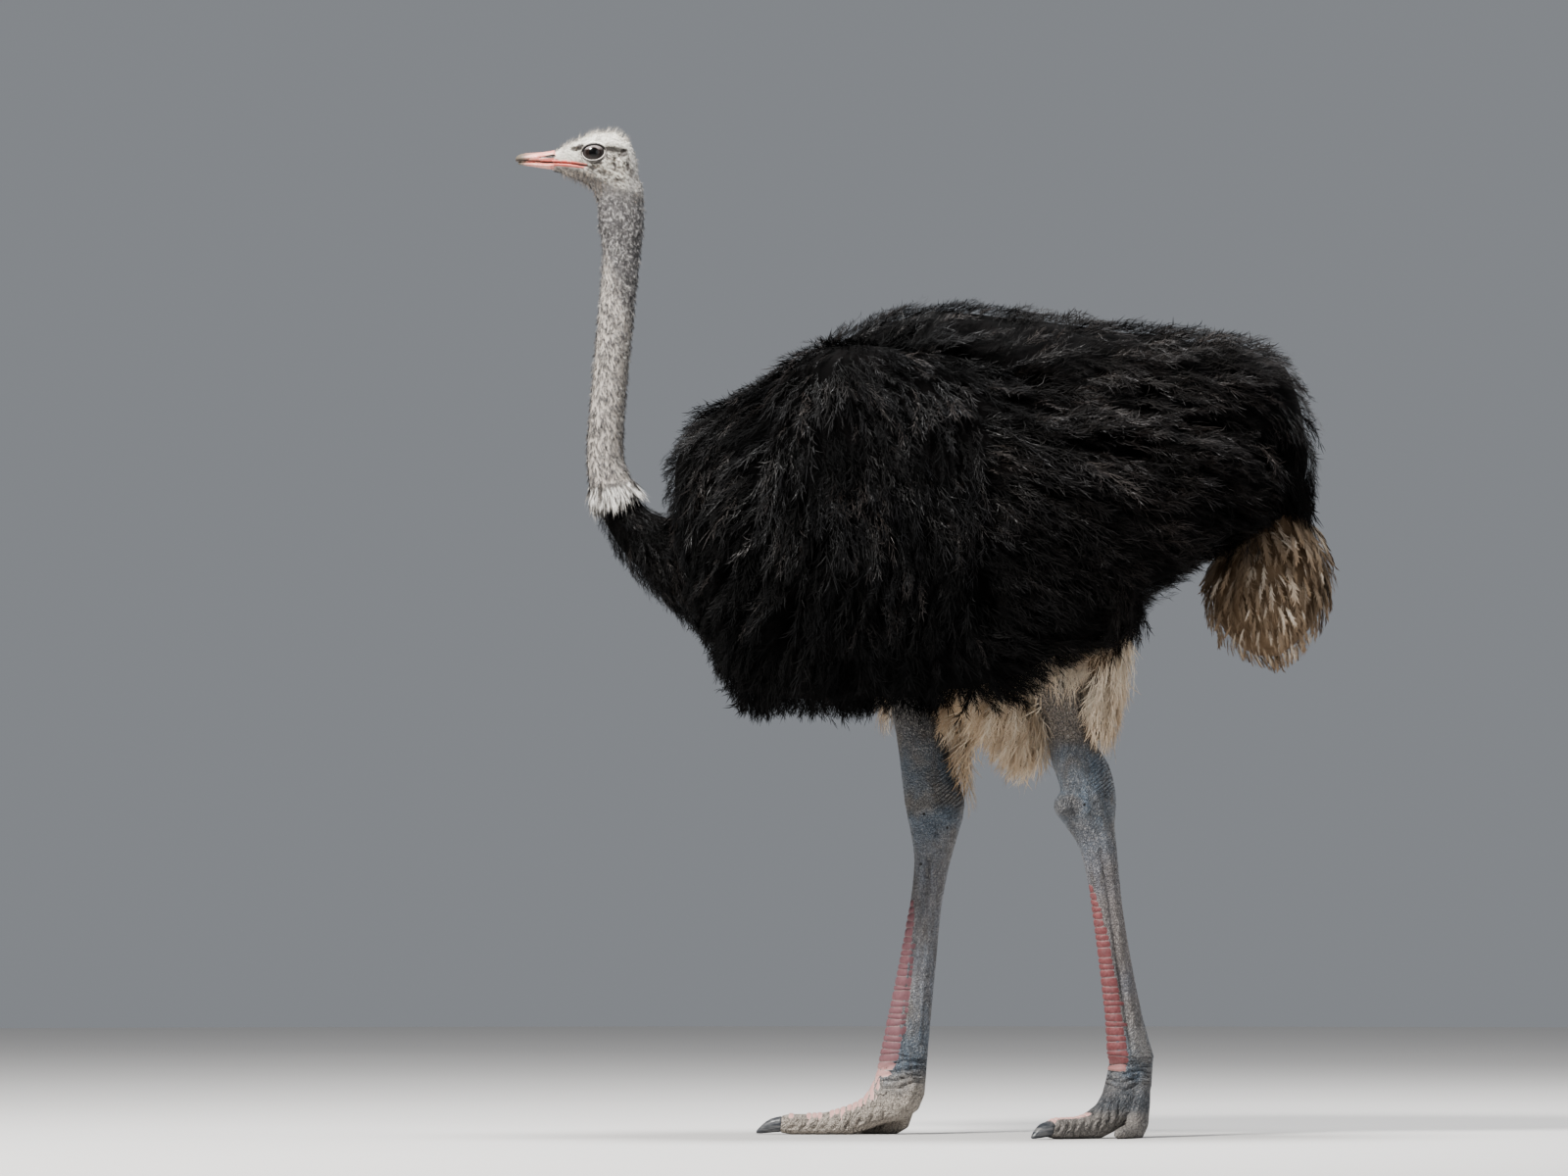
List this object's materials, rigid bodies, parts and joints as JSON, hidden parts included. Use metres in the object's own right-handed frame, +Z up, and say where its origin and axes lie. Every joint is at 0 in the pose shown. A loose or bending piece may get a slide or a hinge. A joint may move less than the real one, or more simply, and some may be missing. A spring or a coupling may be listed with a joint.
{
  "type": "ostrich",
  "caption": "Adult male ostrich standing on its toes, neck upright, drooped black wings, bare legs and hanging pale tail plumes.",
  "frame": {"origin": "on the floor, under the middle of the bird's length and width", "axes": "+Z up, -X the way the bird faces, -Y its left side"},
  "size_m": [1.538, 0.6656, 1.8996],
  "materials": {
    "head_down": "short pale grey down over bare skin",
    "bill_horn": "smooth pink and grey horn",
    "eye": "wet, dark brown",
    "black_plumage": "loose black feathers",
    "cream_plumage": "loose cream and tan plumes",
    "leg_skin": "bare blue-grey skin with red scutes down the shin",
    "foot_skin": "wrinkled, scaly pinkish grey skin",
    "claw_horn": "worn grey horn"
  },
  "bodies": {
    "root": {"head": "head_down", "bill_upper": "bill_horn", "bill_lower": "bill_horn", "eye_left": "eye", "eye_right": "eye", "neck_upper": "head_down", "neck_lower": "head_down", "neck_base": "black_plumage", "trunk_front": "black_plumage", "trunk_rear": "black_plumage", "rump_plumage": "black_plumage", "wing_left": "black_plumage", "wing_right": "black_plumage", "wing_plumes_left": "black_plumage", "wing_plumes_right": "black_plumage", "tail": "cream_plumage", "flank_left_front": "cream_plumage", "flank_left_rear": "cream_plumage", "flank_right_rear": "cream_plumage", "shank_left": "leg_skin", "shank_right": "leg_skin", "tarsus_left": "leg_skin", "tarsus_right": "leg_skin", "foot_left": "foot_skin", "foot_right": "foot_skin", "outer_toe_left": "foot_skin", "outer_toe_right": "foot_skin", "claw_left": "claw_horn", "claw_right": "claw_horn"}
  },
  "joints": []
}
